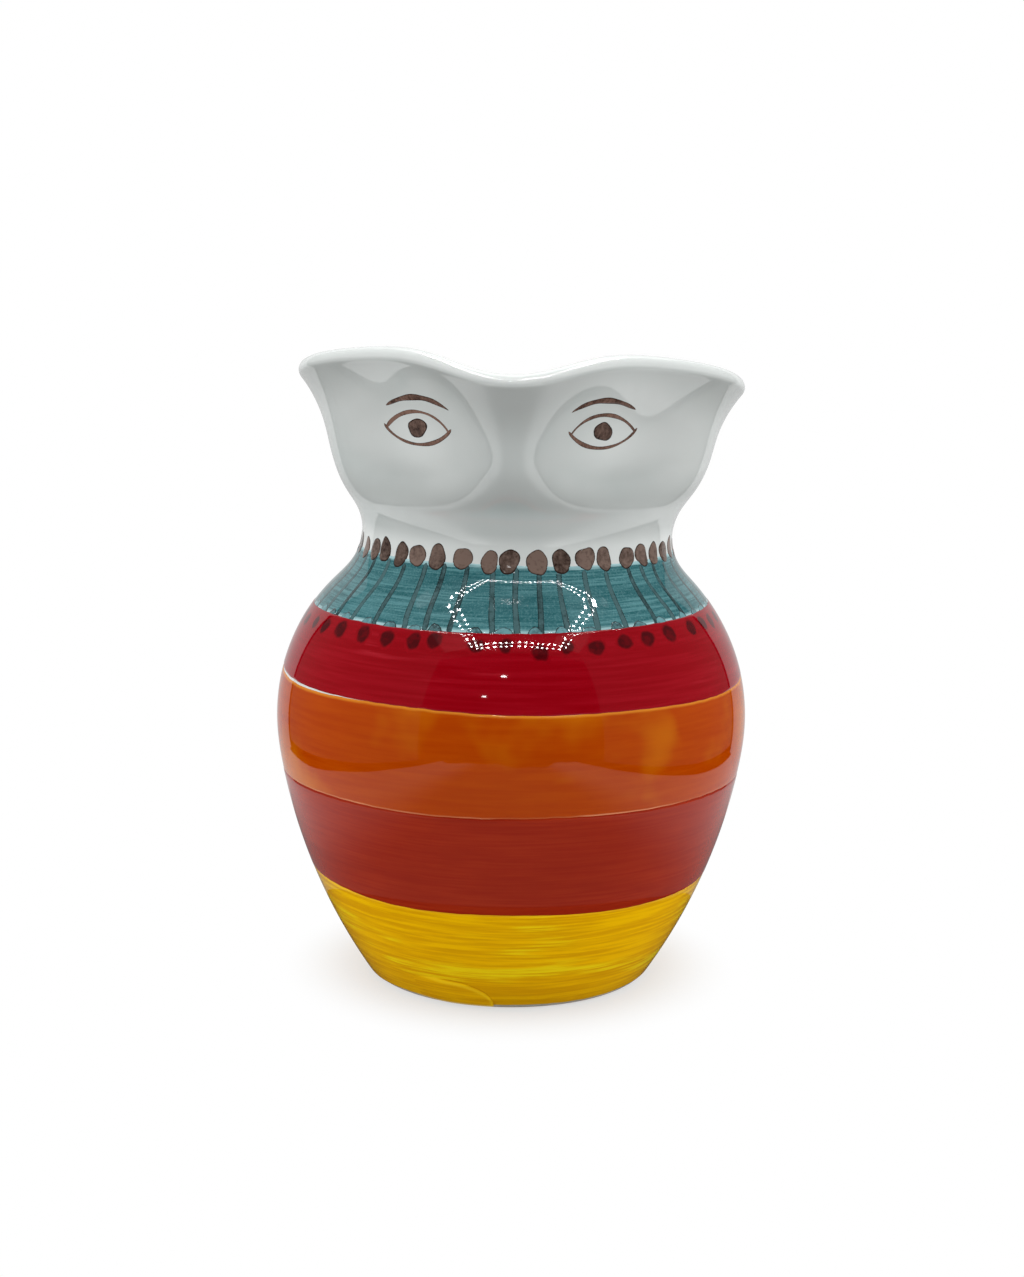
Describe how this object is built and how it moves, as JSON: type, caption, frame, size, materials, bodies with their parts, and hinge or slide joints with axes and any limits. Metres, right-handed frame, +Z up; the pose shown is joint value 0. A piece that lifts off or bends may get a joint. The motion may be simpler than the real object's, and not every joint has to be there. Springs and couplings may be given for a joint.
{
  "type": "face jug",
  "caption": "Glazed earthenware jug with a round belly in colour bands, a flared head pinched into a pouring spout between two painted eyes, and a strap handle at the back.",
  "frame": {"origin": "middle of the foot ring, on the surface that the jug stands on", "axes": "+Z up the jug's axis, -Y towards the spout and the painted eyes, +Y towards the handle"},
  "size_m": [0.1492, 0.1745, 0.1994],
  "materials": {
    "white_glaze": "gloss",
    "yellow_colour": "gloss",
    "brick_red_colour": "gloss",
    "orange_colour": "gloss",
    "crimson_colour": "gloss",
    "teal_colour": "gloss",
    "brown_dab_colour": "gloss",
    "grey_stroke_colour": "gloss",
    "maroon_dab_colour": "gloss",
    "brown_line_colour": "gloss"
  },
  "bodies": {
    "root": {"belly": "white_glaze", "head": "white_glaze", "handle": "white_glaze", "yellow_band": "yellow_colour", "lower_red_band": "brick_red_colour", "orange_band": "orange_colour", "upper_red_band": "crimson_colour", "teal_collar": "teal_colour", "upper_beads": "brown_dab_colour", "collar_strokes": "grey_stroke_colour", "lower_beads": "maroon_dab_colour", "eye_outlines": "brown_line_colour", "pupils": "brown_line_colour", "brows": "brown_line_colour"}
  },
  "joints": []
}
